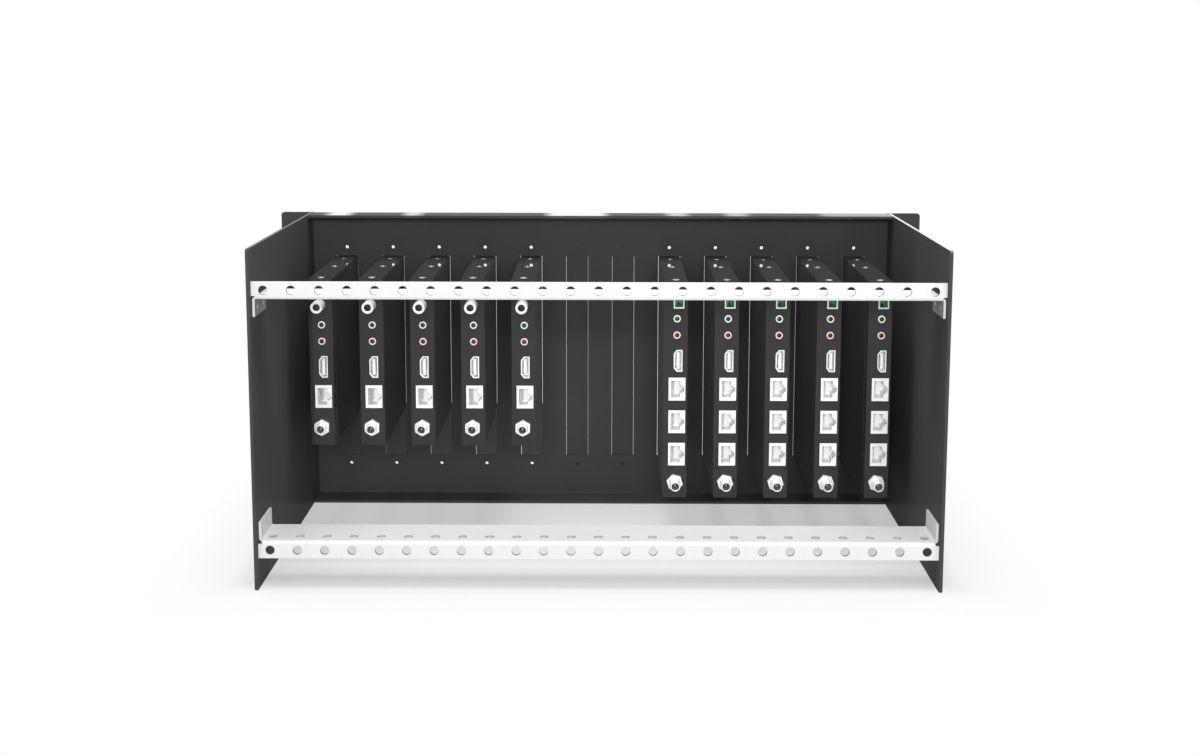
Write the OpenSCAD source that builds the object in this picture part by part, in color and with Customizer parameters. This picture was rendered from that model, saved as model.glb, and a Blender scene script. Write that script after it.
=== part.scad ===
// Rack frame, five rack units high, fitted with upright plug-in modules.
// X runs along the front panel, Y points to the front, Z is up.
// The origin is on the base, in the middle of the overall depth and width.
// Left and right are as seen from the rear. All sizes are in millimetres.

/* [Frame] */
// Width of the front panel over its ears
panel_w = 482.6; // [470:0.1:500]
// Height of the front panel and of the side panels
panel_h = 220.5; // [212:0.5:232]
// Width over the outside of the two side panels
body_w = 438.6; // [436:0.1:448]
// Depth of the side panels behind the front panel
side_d = 200; // [180:1:260]
// Thickness of the frame's sheet steel
sheet_t = 2; // [1.8:0.1:2.4]
// Depth of the front panel's folded top and bottom flanges
flange_d = 20; // [12:0.5:30]
// Gap between the end of a flange and the side panel
flange_gap = 0.3; // [0.1:0.1:0.8]
// Inside radius of the front panel's folds
fold_r = 1; // [0.5:0.1:2]
// Corner radius of the ears
ear_corner_r = 2.3; // [1:0.1:5]
// Radius of the side panels' rear corners
side_corner_r = 2; // [1:0.1:6]

/* [Rack slots in the ears] */
// Distance between the left and right rack slots
ear_slot_pitch_x = 465.1; // [463:0.1:467]
// Distance between the lower and upper rack slots
ear_slot_pitch_z = 146.05; // [120:0.05:180]
// Length of a rack slot from end to end
ear_slot_l = 10.3; // [8:0.1:12]
// Width of a rack slot
ear_slot_w = 6.8; // [5:0.1:7.5]

/* [Module row] */
// Distance from one module to the next
slot_pitch = 34.925; // [32:0.025:37]
// Height of the middle of the row of slots
row_z = 109.7; // [106:0.1:114]
// Gap between a module's side and its slot
slot_side_gap = 0.15; // [0.1:0.05:0.6]
// Gap between a module's top and its slot
slot_top_gap = 0.3; // [0.2:0.1:1]
// Gap between a tall module's underside and its slot
slot_bottom_gap = 2.6; // [0.5:0.1:4]
// Distance between the fixing holes above and below a slot
fix_pitch = 168.6; // [166:0.1:180]
// Tapping diameter of a fixing hole
fix_d = 2.5; // [2:0.1:3.3]
// Diameter of the clearance holes over the fixing holes
fix_clear_d = 3.4; // [3.4:0.1:4.2]
// Distance from a fixing hole to the end of a bezel or strip
fix_edge = 4.8; // [3:0.1:8]

/* [Modules] */
// Thickness of a module
module_t = 16.4; // [15.6:0.1:17.6]
// Corner radius of a module's outline
module_corner_r = 0.8; // [0.4:0.1:1.2]
// Height of a short module
short_h = 117.5; // [115:0.5:130]
// Height of a tall module
tall_h = 152.5; // [150:0.5:158]
// Depth of a short module behind the front panel
short_d = 106; // [90:0.5:130]
// Depth of a tall module behind the front panel
tall_d = 112; // [90:0.5:130]
// Thickness of a module's rear plate
plate_t = 1; // [0.8:0.1:2]
// Thickness of a bezel in front of the panel
bezel_t = 2; // [1.5:0.1:3]
// Gap between a bezel's plug and the sides of the slot
plug_side_gap = 0.35; // [0.2:0.05:0.8]
// Gap between a bezel's plug and the ends of the slot
plug_end_gap = 0.3; // [0.2:0.1:0.8]
// Step from the side of the plug in to the side of the bezel
bezel_step = 0.3; // [0.1:0.1:0.6]
// Corner radius of bezels and blanking strips
bezel_corner_r = 1; // [0.5:0.1:2]
// Thickness of a blanking strip
strip_t = 1.5; // [1:0.1:2]
// Gap between a blanking strip and the sides of the slot
strip_side_gap = 0.15; // [0.1:0.05:0.6]

/* [Short module rear face] */
// Coax socket's place below the module's top
short_coax_drop = 18.5; // [14:0.1:22]
// Coax socket's place to the right of the module's middle
short_coax_x = -0.7; // [-2:0.1:2]
// Green audio socket's place below the module's top
short_green_drop = 32.4; // [30:0.1:34]
// Red audio socket's place below the module's top
short_red_drop = 43.9; // [42:0.1:46]
// Audio sockets' place to the right of the module's middle
short_audio_x = 0.6; // [-2:0.1:2]
// Video socket's place below the module's top
short_video_drop = 62; // [58:0.1:64]
// Video socket's place to the right of the module's middle
short_video_x = 1.2; // [-1:0.1:2]
// Network socket's place below the module's top
short_network_drop = 83; // [81:0.1:86]
// Network socket's place to the right of the module's middle
short_network_x = 0.9; // [-1:0.1:1.5]
// Power socket's place below the module's top
short_power_drop = 104.9; // [102:0.1:107]
// Power socket's place to the right of the module's middle
short_power_x = -0.7; // [-2:0.1:2]
// Length of the power socket's barrel beyond its nut
short_power_reach = 5; // [3:0.1:8]
// Turn of the power socket's nut
short_nut_turn = 30; // [0:1:60]

/* [Tall module rear face] */
// Terminal block's place below the module's top
tall_terminal_drop = 13.5; // [10:0.1:15]
// Terminal block's place to the right of the module's middle
tall_terminal_x = 2; // [-2:0.1:3]
// Green audio socket's place below the module's top
tall_green_drop = 26.3; // [24:0.1:28]
// Red audio socket's place below the module's top
tall_red_drop = 37.7; // [36:0.1:40]
// Audio sockets' place to the right of the module's middle
tall_audio_x = 0.8; // [-2:0.1:2]
// Video socket's place below the module's top
tall_video_drop = 55.7; // [53:0.1:57]
// Video socket's place to the right of the module's middle
tall_video_x = 1.7; // [-1:0.1:2]
// Uppermost network socket's place below the module's top
tall_network_drop = 75.6; // [74:0.1:77]
// Distance from one network socket to the next
tall_network_pitch = 23; // [20:0.1:24]
// Network sockets' place to the right of the module's middle
tall_network_x = 1.1; // [-1:0.1:1.5]
// Power socket's place below the module's top
tall_power_drop = 141.5; // [139:0.1:143]
// Power socket's place to the right of the module's middle
tall_power_x = 0; // [-2:0.1:2]
// Length of the power socket's barrel beyond its nut
tall_power_reach = 9; // [4:0.1:11]
// Turn of the power socket's nut
tall_nut_turn = 12; // [0:1:60]

/* [Sockets] */
// Gap between a socket and the cut-out that it sits in
seat_gap = 0.1; // [0.05:0.05:0.2]
// Outside diameter of the coax socket
coax_d = 8.2; // [7:0.1:9]
// Bore of the coax socket
coax_bore_d = 4.9; // [4:0.1:6]
// Length of the coax socket outside the module
coax_reach = 11; // [8:0.1:14]
// Diameter of the insulating core inside the coax socket
coax_core_d = 3.3; // [2.8:0.1:3.6]
// Length of the insulating core outside the module
coax_core_reach = 5; // [3:0.1:7]
// Bore of the insulating core, for the plug's centre pin
coax_core_bore_d = 2; // [1.6:0.1:2.2]
// Outside diameter of an audio socket
audio_d = 5; // [4.6:0.1:6]
// Bore of an audio socket
audio_bore_d = 3.3; // [3:0.1:4]
// Height of an audio socket's rim outside the module
audio_reach = 0.9; // [0.4:0.1:2]
// Width of the video socket
video_w = 5.9; // [5.5:0.1:6.5]
// Height of the video socket
video_h = 15.2; // [14.5:0.1:16]
// Width of the video socket's sloping corners
video_slope_w = 2; // [1.5:0.1:2.5]
// Height of the video socket's sloping corners
video_slope_h = 2.6; // [2:0.1:3.2]
// Wall of the video socket's shell
video_wall = 0.6; // [0.4:0.1:0.8]
// Thickness of the tongue inside the video socket
tongue_t = 1.7; // [1.2:0.1:2]
// Height of the tongue inside the video socket
tongue_h = 11.4; // [10:0.1:12]
// Width of the network socket
network_w = 11.5; // [11:0.1:12]
// Height of the network socket
network_h = 16; // [15.5:0.1:17]
// Width of the network socket's plug cavity
network_cavity_w = 6.5; // [6.2:0.1:7]
// Height of the network socket's plug cavity
network_cavity_h = 12; // [11.8:0.1:13]
// Wall between the plug cavity and the socket's contact side
network_wall = 1.6; // [1:0.1:2]
// Depth of the network socket's plug cavity
network_cavity_d = 11; // [9:0.1:12]
// Height of the notch for a plug's latch
latch_h = 6.2; // [5:0.1:7]
// Height of the latch notch's narrow end
latch_tip_h = 3.6; // [2:0.1:4.8]
// Reach of each of the latch notch's two steps
latch_step_w = 1.4; // [1:0.1:1.5]
// Diameter of the power socket's barrel
power_d = 7.3; // [6.8:0.1:7.6]
// Bore of the power socket
power_bore_d = 5.2; // [4.6:0.1:5.6]
// Diameter of the power socket's centre pin
power_pin_d = 2; // [1.6:0.1:2.5]
// Distance from the end of the power socket in to the tip of its pin
power_pin_back = 3; // [1:0.1:6]
// Width across flats of the power socket's nut
nut_w = 10; // [9.5:0.1:11]
// Thickness of the power socket's nut
nut_t = 2.4; // [1.6:0.1:3]
// Diameter of the flat on the nut's outer face
nut_face_d = 9.8; // [9:0.1:10]
// Slope of the nut's chamfered corners, in degrees
nut_chamfer = 30; // [20:1:45]
// Width of the terminal block
terminal_w = 7.3; // [6.5:0.1:8]
// Height of the terminal block
terminal_h = 11.5; // [11:0.1:13]
// Wall of the terminal block
terminal_wall = 0.9; // [0.6:0.1:1.2]
// Distance from one terminal pin to the next
terminal_pitch = 3.5; // [2.8:0.1:3.8]
// Width of a terminal pin
terminal_pin_w = 1; // [0.8:0.1:1.2]

/* [Cable bars] */
// Sheet thickness of a cable bar
bar_t = 1.5; // [1:0.1:2]
// Height of a bar's upright face
bar_face_h = 11.4; // [10:0.1:14]
// Depth of a bar's flange
bar_flange_d = 32.7; // [30:0.1:40]
// Inside radius of a bar's folds
bar_fold_r = 0.8; // [0.4:0.1:1.5]
// Height of a bar's end tabs above its flange
tab_h = 11.5; // [10:0.1:14]
// Gap between an end tab and the side panel
tab_gap = 0.3; // [0.1:0.1:0.6]
// Distance from the base to the lower bar
bar_edge_z = 20.8; // [14:0.1:26]
// Distance from the side panels' rear edges in to a bar's face
bar_inset = 3; // [1:0.1:8]
// Diameter of the tie holes
tie_d = 5.8; // [4.5:0.1:6.5]
// Distance from one tie hole to the next
tie_pitch = 17.46; // [16.5:0.01:17.6]
// Number of tie holes in a row
tie_count = 25; // [21:2:25]
// Distance from a face's free edge to its tie holes
tie_edge = 5.4; // [4.5:0.1:6]
// Distance from a bar's face to the tie holes in its flange
tie_flange_y = 9.5; // [7:0.1:14]

/* [Fasteners] */
// Thread diameter of the cable bars' screws
bar_screw_d = 3; // [2.5:0.1:3.5]
// Head diameter of the cable bars' screws
bar_screw_head_d = 5.6; // [5:0.1:6]
// Distance between a tab's two screws
bar_screw_pitch = 15; // [12:0.1:18]
// Gap around a screw in its hole
screw_gap = 0.1; // [0.05:0.05:0.2]
// Head diameter of the blanking strips' screws
strip_screw_head_d = 5.5; // [5:0.1:6.5]
// Head height of the blanking strips' screws
strip_screw_head_h = 1.6; // [1.2:0.1:2]
// Width across flats of the strip screws' sockets
strip_screw_key_w = 2; // [1.5:0.1:2.5]
// Thread diameter of the modules' cover screws
cover_screw_d = 2.5; // [2:0.1:3]
// Head diameter of the modules' cover screws
cover_screw_head_d = 5; // [4.2:0.1:5.4]
// Length of the modules' cover screws
cover_screw_l = 5; // [4:0.1:8]
// Distance from the front panel to the first cover screw
cover_screw_front = 15; // [8:0.5:30]
// Distance from the front panel to the second cover screw
cover_screw_middle = 51; // [40:0.5:60]
// Distance from a module's rear plate to the last cover screw
cover_screw_rear = 3.4; // [3:0.1:8]

/* [Hidden] */
$fn = 48;
// Length by which a cut runs past the face that it opens
past = 1;
short_slots = [1, 2, 3, 4, 5];
blank_slots = [6, 7];
tall_slots = [8, 9, 10, 11, 12];
module_slots = concat(short_slots, tall_slots);
slot_count = len(module_slots) + len(blank_slots);
tall_network_count = 3;
terminal_pin_count = 3;
sides = [-1, 1];

inner_w = body_w - 2 * sheet_t;
front_reach = sheet_t + max(bezel_t, strip_t + strip_screw_head_h);
// Y of the front panel's rear face, which every depth is measured from
panel_y = (side_d - front_reach) / 2;

slot_w = module_t + 2 * slot_side_gap;
slot_h = tall_h + slot_top_gap + slot_bottom_gap;
module_top_z = row_z + slot_h / 2 - slot_top_gap;
plug_w = slot_w - 2 * plug_side_gap;
bezel_w = plug_w - 2 * bezel_step;
bezel_h = fix_pitch + 2 * fix_edge;
strip_w = slot_w - 2 * strip_side_gap;

// Lengths of the sockets inside the modules
coax_stem = 5;
audio_stem = 8;
audio_floor = 1;
video_stem = 11;
video_reach = 0.4;
video_base = 4;
tongue_back = 0.8;
network_floor = 2;
network_stem = network_cavity_d + network_floor;
network_reach = 0.3;
power_stem = 8;
power_floor = 2;
terminal_stem = 9;
terminal_floor = 1.5;
terminal_reach = 0.5;
terminal_pin_back = 1;

// Relief between a bar's long fold and its tabs
tab_relief = 0.6;
bar_bend_d = bar_fold_r + bar_t;
bar_l = inner_w - 2 * tab_gap;
tab_back = bar_bend_d + tab_relief;
bar_screw_y = (tab_back + bar_flange_d) / 2;
bar_screw_z = bar_face_h + (bar_fold_r + tab_h) / 2;
bar_screw_head_l = (bar_screw_head_d - bar_screw_d) / 2;
cover_screw_head_l = (cover_screw_head_d - cover_screw_d) / 2;

black_paint = [0.13, 0.13, 0.13];
black_case = [0.16, 0.16, 0.16];
zinc = [0.86, 0.86, 0.86];
nickel = [0.9, 0.9, 0.88];
white = [0.8, 0.8, 0.78];
green = [0.35, 0.62, 0.42];
red = [0.8, 0.36, 0.38];

function slot_x(n) = (n - (slot_count + 1) / 2) * slot_pitch;
function is_short(n) = len(search(n, short_slots)) > 0;
function module_h(n) = is_short(n) ? short_h : tall_h;
function module_d(n) = is_short(n) ? short_d : tall_d;

// Outline of the video socket, with its two sloping corners on the left
function video_outline(w, h) = [
    [w / 2, -h / 2], [w / 2, h / 2],
    [-w / 2 + video_slope_w, h / 2], [-w / 2, h / 2 - video_slope_h],
    [-w / 2, -h / 2 + video_slope_h], [-w / 2 + video_slope_w, -h / 2]
];

// Basic shapes that run along Y, from y0 to y1
module rod(d, y0, y1) translate([0, y0, 0]) rotate([-90, 0, 0]) cylinder(d = d, h = y1 - y0);
module block(w, h, y0, y1) translate([-w / 2, y0, -h / 2]) cube([w, y1 - y0, h]);
module prism(y0, y1) translate([0, y1, 0]) rotate([90, 0, 0]) linear_extrude(y1 - y0) children();

module rounded(w, h, r) {
    square([w - 2 * r, h], center = true);
    square([w, h - 2 * r], center = true);
    for (x = sides, y = sides) translate([x * (w / 2 - r), y * (h / 2 - r)]) circle(r);
}

// Quarter of a ring, between the directions +X and +Y
module quarter_ring(inner, outer) {
    intersection() {
        difference() {
            circle(outer);
            circle(inner);
        }
        square(outer);
    }
}

// Slot with round ends along X
module long_hole(l, w, y0, y1) {
    for (x = sides) translate([x * (l - w) / 2, 0, 0]) rod(w, y0, y1);
    block(l - w, w, y0, y1);
}

// Children at a module slot: Y from the front panel's rear face, Z from the base
module at_slot(n) translate([slot_x(n), panel_y, 0]) children();

// Children at a module's rear face: Y into the module, Z up from the module's top
module at_rear(n) translate([slot_x(n), panel_y - module_d(n), module_top_z]) children();

module at_fix_holes() for (z = sides) translate([0, 0, row_z + z * fix_pitch / 2]) children();

// Front panel with ears, folded flanges, module slots and fixing holes
module panel_section() {
    bend = fold_r + sheet_t;
    for (end = sides) translate([0, end * panel_h / 2]) mirror([0, end > 0 ? 1 : 0]) {
        translate([-bend + sheet_t, bend]) mirror([0, 1]) quarter_ring(fold_r, bend);
        translate([-flange_d, 0]) square([flange_d - bend + sheet_t, sheet_t]);
    }
    translate([0, bend - panel_h / 2]) square([sheet_t, panel_h - 2 * bend]);
}

module front_panel() color(black_paint) {
    flange_l = inner_w - 2 * flange_gap;
    ear_l = (panel_w - flange_l) / 2;
    translate([0, panel_y, 0]) difference() {
        union() {
            translate([-flange_l / 2, 0, panel_h / 2]) {
                rotate([90, 0, 90]) linear_extrude(flange_l) panel_section();
            }
            for (s = sides) translate([s * (panel_w - ear_l) / 2, 0, panel_h / 2]) {
                prism(0, sheet_t) ear(s, ear_l);
            }
        }
        translate([0, 0, panel_h / 2]) for (x = sides, z = sides) {
            translate([x * ear_slot_pitch_x / 2, 0, z * ear_slot_pitch_z / 2]) {
                long_hole(ear_slot_l, ear_slot_w, -past, sheet_t + past);
            }
        }
        for (n = [1:slot_count]) translate([slot_x(n), 0, 0]) {
            translate([0, 0, row_z]) block(slot_w, slot_h, -past, sheet_t + past);
            at_fix_holes() rod(fix_d, -past, sheet_t + past);
        }
    }
}

// Outline of one ear, rounded at its outer corners
module ear(s, ear_l) {
    rounded(ear_l, panel_h, ear_corner_r);
    translate([-s * ear_l / 4, 0]) square([ear_l / 2, panel_h], center = true);
}

// Side panel, countersunk on its outside for the cable bars' screws
module side_panel(s) color(black_paint) {
    difference() {
        translate([s * (body_w - sheet_t) / 2 - sheet_t / 2, panel_y - side_d / 2, panel_h / 2]) {
            rotate([90, 0, 90]) linear_extrude(sheet_t) side_outline();
        }
        at_bar_screws(s) bar_screw_shape(screw_gap, past);
    }
}

module side_outline() {
    rounded(side_d, panel_h, side_corner_r);
    translate([side_d / 4, 0]) square([side_d / 2, panel_h], center = true);
}

// Cable bar: Y from its face to the front, Z from its free edge
module bar_section() {
    square([bar_t, bar_face_h - bar_bend_d]);
    translate([bar_bend_d, bar_face_h - bar_bend_d]) mirror([1, 0]) quarter_ring(bar_fold_r, bar_bend_d);
    translate([bar_bend_d, bar_face_h - bar_t]) square([bar_flange_d - bar_bend_d, bar_t]);
}

module bar_tab() {
    translate([bar_l / 2 - bar_bend_d, 0, bar_face_h + bar_fold_r]) {
        prism(tab_back, bar_flange_d) mirror([0, 1]) quarter_ring(bar_fold_r, bar_bend_d);
    }
    translate([bar_l / 2 - bar_t, tab_back, bar_face_h + bar_fold_r]) {
        cube([bar_t, bar_flange_d - tab_back, tab_h - bar_fold_r]);
    }
}

module cable_bar() color(zinc) {
    straight = bar_l - 2 * bar_bend_d;
    face_end_h = bar_face_h - bar_bend_d;
    difference() {
        union() {
            translate([-straight / 2, 0, 0]) rotate([90, 0, 90]) linear_extrude(straight) bar_section();
            for (s = sides) {
                translate([s * (bar_l - bar_bend_d) / 2 - bar_bend_d / 2, 0, 0]) {
                    cube([bar_bend_d, bar_t, face_end_h]);
                }
                mirror([s < 0 ? 1 : 0, 0, 0]) bar_tab();
            }
        }
        for (i = [0:tie_count - 1]) translate([(i - (tie_count - 1) / 2) * tie_pitch, 0, 0]) {
            translate([0, 0, tie_edge]) rod(tie_d, -past, bar_t + past);
            translate([0, tie_flange_y, bar_face_h - bar_t - past]) {
                cylinder(d = tie_d, h = bar_t + 2 * past);
            }
        }
        for (s = sides) bar_screw_places(s) rotate([0, -s * 90, 0]) {
            translate([0, 0, -past]) cylinder(d = bar_screw_d + 2 * screw_gap, h = bar_t + 2 * past);
        }
    }
}

// Outside face of a tab at each screw, in the bar's own frame
module bar_screw_places(s) {
    translate([s * bar_l / 2, bar_screw_y, bar_screw_z]) {
        for (i = sides) translate([0, i * bar_screw_pitch / 2, 0]) children();
    }
}

module lower_bar_place() translate([0, panel_y - side_d + bar_inset, bar_edge_z]) children();
module upper_bar_place() translate([0, 0, panel_h]) rotate([0, 180, 0]) lower_bar_place() children();

// Screws of one side, each with its head on the side panel's outside and +Z pointing inwards
module at_bar_screws(s) {
    head = tab_gap + sheet_t;
    lower_bar_place() bar_screw_places(s) translate([s * head, 0, 0]) rotate([0, -s * 90, 0]) children();
    upper_bar_place() bar_screw_places(-s) translate([-s * head, 0, 0]) rotate([0, s * 90, 0]) children();
}

module bar_screw_shape(gap, extra) {
    l = sheet_t + tab_gap + bar_t;
    d = bar_screw_d + 2 * gap;
    head_d = bar_screw_head_d + 2 * gap;
    cylinder(d = d, h = l);
    cylinder(d1 = head_d, d2 = d, h = bar_screw_head_l);
    if (extra > 0) translate([0, 0, -extra]) cylinder(d = head_d, h = extra);
}

module cable_bar_screws() color(zinc) {
    for (s = sides) at_bar_screws(s) bar_screw_shape(0, 0);
}

// Blanking strips over the slots that hold no module
module blanking_strip(n) color(black_case) at_slot(n) {
    difference() {
        translate([0, 0, row_z]) {
            prism(sheet_t, sheet_t + strip_t) rounded(strip_w, bezel_h, bezel_corner_r);
        }
        at_fix_holes() rod(fix_clear_d, 0, sheet_t + strip_t + past);
    }
}

module blanking_strip_screws() color(black_case) {
    face = sheet_t + strip_t;
    for (n = blank_slots) at_slot(n) at_fix_holes() difference() {
        union() {
            rod(fix_d - 2 * screw_gap, 0, face);
            rod(strip_screw_head_d, face, face + strip_screw_head_h);
        }
        translate([0, face + strip_screw_head_h / 2, 0]) rotate([-90, 0, 0]) {
            cylinder(d = strip_screw_key_w / cos(30), h = strip_screw_head_h, $fn = 6);
        }
    }
}

// Module case: a closed box with seats for its sockets and cover screws
module module_case(n) color(black_case) {
    h = module_h(n);
    difference() {
        at_slot(n) translate([0, 0, module_top_z - h / 2]) {
            prism(plate_t - module_d(n), 0) rounded(module_t, h, module_corner_r);
        }
        at_rear(n) socket_seats(n);
        at_cover_screws(n) cover_screw_shape(screw_gap, past);
    }
}

module module_rear_plate(n) color(black_case) {
    h = module_h(n);
    at_rear(n) difference() {
        translate([0, 0, -h / 2]) prism(0, plate_t) rounded(module_t, h, module_corner_r);
        socket_seats(n);
    }
}

// Bezel with a plug that fills its slot, and holes over the panel's fixing holes
module module_bezel(n) color(black_case) at_slot(n) {
    difference() {
        translate([0, 0, row_z]) {
            prism(sheet_t, sheet_t + bezel_t) rounded(bezel_w, bezel_h, bezel_corner_r);
            block(plug_w, slot_h - 2 * plug_end_gap, 0, sheet_t);
        }
        at_fix_holes() rod(fix_clear_d, 0, sheet_t + bezel_t + past);
    }
}

// Cover screws stand in a module's top, heads flush, with +Z pointing down into the case
module at_cover_screws(n) {
    places = [cover_screw_front, cover_screw_middle, module_d(n) - plate_t - cover_screw_rear];
    at_slot(n) for (y = places) translate([0, -y, module_top_z]) rotate([180, 0, 0]) children();
}

module cover_screw_shape(gap, extra) {
    d = cover_screw_d + 2 * gap;
    head_d = cover_screw_head_d + 2 * gap;
    cylinder(d = d, h = cover_screw_l);
    cylinder(d1 = head_d, d2 = d, h = cover_screw_head_l);
    if (extra > 0) translate([0, 0, -extra]) cylinder(d = head_d, h = extra);
}

module cover_screws() color(nickel) {
    for (n = module_slots) at_cover_screws(n) cover_screw_shape(0, 0);
}

// Places of each kind of socket on a module's rear face
module coax_places(n) if (is_short(n)) translate([short_coax_x, 0, -short_coax_drop]) children();

module terminal_places(n) if (!is_short(n)) translate([tall_terminal_x, 0, -tall_terminal_drop]) children();

module green_places(n) {
    if (is_short(n)) translate([short_audio_x, 0, -short_green_drop]) children();
    else translate([tall_audio_x, 0, -tall_green_drop]) children();
}

module red_places(n) {
    if (is_short(n)) translate([short_audio_x, 0, -short_red_drop]) children();
    else translate([tall_audio_x, 0, -tall_red_drop]) children();
}

module video_places(n) {
    if (is_short(n)) translate([short_video_x, 0, -short_video_drop]) children();
    else translate([tall_video_x, 0, -tall_video_drop]) children();
}

module network_places(n) {
    if (is_short(n)) translate([short_network_x, 0, -short_network_drop]) children();
    else for (i = [0:tall_network_count - 1]) {
        translate([tall_network_x, 0, -tall_network_drop - i * tall_network_pitch]) children();
    }
}

module power_places(n) {
    if (is_short(n)) translate([short_power_x, 0, -short_power_drop]) children();
    else translate([tall_power_x, 0, -tall_power_drop]) children();
}

// Cut-outs for all the sockets of one module
module socket_seats(n) {
    g = 2 * seat_gap;
    coax_places(n) rod(coax_d + g, -past, coax_stem);
    terminal_places(n) block(terminal_w + g, terminal_h + g, -past, terminal_stem);
    green_places(n) rod(audio_d + g, -past, audio_stem);
    red_places(n) rod(audio_d + g, -past, audio_stem);
    video_places(n) prism(-past, video_stem) polygon(video_outline(video_w + g, video_h + g));
    network_places(n) block(network_w + g, network_h + g, -past, network_stem);
    power_places(n) rod(power_d + g, -past, power_stem);
}

// Coax sockets, each with an insulating core round the hole for the plug's centre pin
module coax_sockets() color(nickel) for (n = module_slots) at_rear(n) coax_places(n) {
    difference() {
        rod(coax_d, -coax_reach, coax_stem);
        difference() {
            rod(coax_bore_d, -coax_reach - past, 0);
            rod(coax_core_d, -coax_core_reach, past);
        }
        rod(coax_core_bore_d, -coax_core_reach - past, 0);
    }
}

module audio_socket() difference() {
    rod(audio_d, -audio_reach, audio_stem);
    rod(audio_bore_d, -audio_reach - past, audio_stem - audio_floor);
}

module green_audio_sockets() color(green) for (n = module_slots) at_rear(n) green_places(n) audio_socket();

module red_audio_sockets() color(red) for (n = module_slots) at_rear(n) red_places(n) audio_socket();

module terminal_blocks() color(green) for (n = module_slots) at_rear(n) terminal_places(n) {
    difference() {
        block(terminal_w, terminal_h, -terminal_reach, terminal_stem);
        block(
            terminal_w - 2 * terminal_wall, terminal_h - 2 * terminal_wall,
            -terminal_reach - past, terminal_stem - terminal_floor
        );
    }
}

module terminal_pins() color(nickel) for (n = module_slots) at_rear(n) terminal_places(n) {
    lowest = -(terminal_pin_count - 1) / 2 * terminal_pitch;
    for (i = [0:terminal_pin_count - 1]) translate([0, 0, lowest + i * terminal_pitch]) {
        block(terminal_pin_w, terminal_pin_w, terminal_pin_back, terminal_stem - terminal_floor);
    }
}

module video_socket_shells() color(nickel) for (n = module_slots) at_rear(n) video_places(n) {
    difference() {
        prism(-video_reach, video_stem) polygon(video_outline(video_w, video_h));
        prism(-video_reach - past, video_stem + past) {
            polygon(video_outline(video_w - 2 * video_wall, video_h - 2 * video_wall));
        }
    }
}

// Insulator that closes a video socket's shell, with the tongue that carries its contacts
module video_socket_inserts() color(white) for (n = module_slots) at_rear(n) video_places(n) {
    inset = 2 * (video_wall + seat_gap);
    prism(video_stem - video_base, video_stem) polygon(video_outline(video_w - inset, video_h - inset));
    block(tongue_t, tongue_h, tongue_back, video_stem - video_base);
}

// Shielded network socket, with a stepped notch for the plug's latch on the right
module network_socket() {
    step_heights = [network_cavity_h, latch_h, latch_tip_h];
    difference() {
        block(network_w, network_h, -network_reach, network_stem);
        for (i = [0:len(step_heights) - 1]) {
            w = network_cavity_w + i * latch_step_w;
            translate([network_wall - network_w / 2 + w / 2, 0, 0]) {
                block(w, step_heights[i], -network_reach - past, network_cavity_d);
            }
        }
    }
}

module network_sockets() color(nickel) for (n = module_slots) at_rear(n) network_places(n) network_socket();

// Threaded power socket with its centre pin
module power_socket(reach) {
    end = -nut_t - reach;
    difference() {
        rod(power_d, end, power_stem);
        rod(power_bore_d, end - past, power_stem - power_floor);
    }
    rod(power_pin_d, end + power_pin_back, power_stem - power_floor);
}

module power_sockets() color(nickel) for (n = module_slots) at_rear(n) power_places(n) {
    power_socket(is_short(n) ? short_power_reach : tall_power_reach);
}

// Hex nut with the corners of its outer face chamfered
module hex_nut() translate([0, -nut_t, 0]) rotate([-90, 0, 0]) intersection() {
    cylinder(d = nut_w / cos(30), h = nut_t, $fn = 6);
    cylinder(d1 = nut_face_d, d2 = nut_face_d + 2 * nut_t / tan(nut_chamfer), h = nut_t);
}

module power_socket_nuts() color(nickel) for (n = module_slots) at_rear(n) power_places(n) {
    difference() {
        rotate([0, is_short(n) ? short_nut_turn : tall_nut_turn, 0]) hex_nut();
        rod(power_d + 2 * screw_gap, -nut_t - past, past);
    }
}

front_panel();
side_panel(-1);  // left_side_panel
side_panel(1);  // right_side_panel
upper_bar_place() cable_bar();  // upper_cable_bar
lower_bar_place() cable_bar();  // lower_cable_bar
cable_bar_screws();
for (n = blank_slots) blanking_strip(n);
blanking_strip_screws();
for (n = module_slots) {
    module_case(n);
    module_rear_plate(n);
    module_bezel(n);
}
cover_screws();
coax_sockets();
terminal_blocks();
terminal_pins();
green_audio_sockets();
red_audio_sockets();
video_socket_shells();
video_socket_inserts();
network_sockets();
power_sockets();
power_socket_nuts();
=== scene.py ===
"""Looks of a rack frame with plug-in modules, seen from its rear. Metres, +Y to the front panel."""
import math

import bpy
from mathutils import Matrix, Vector


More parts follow.
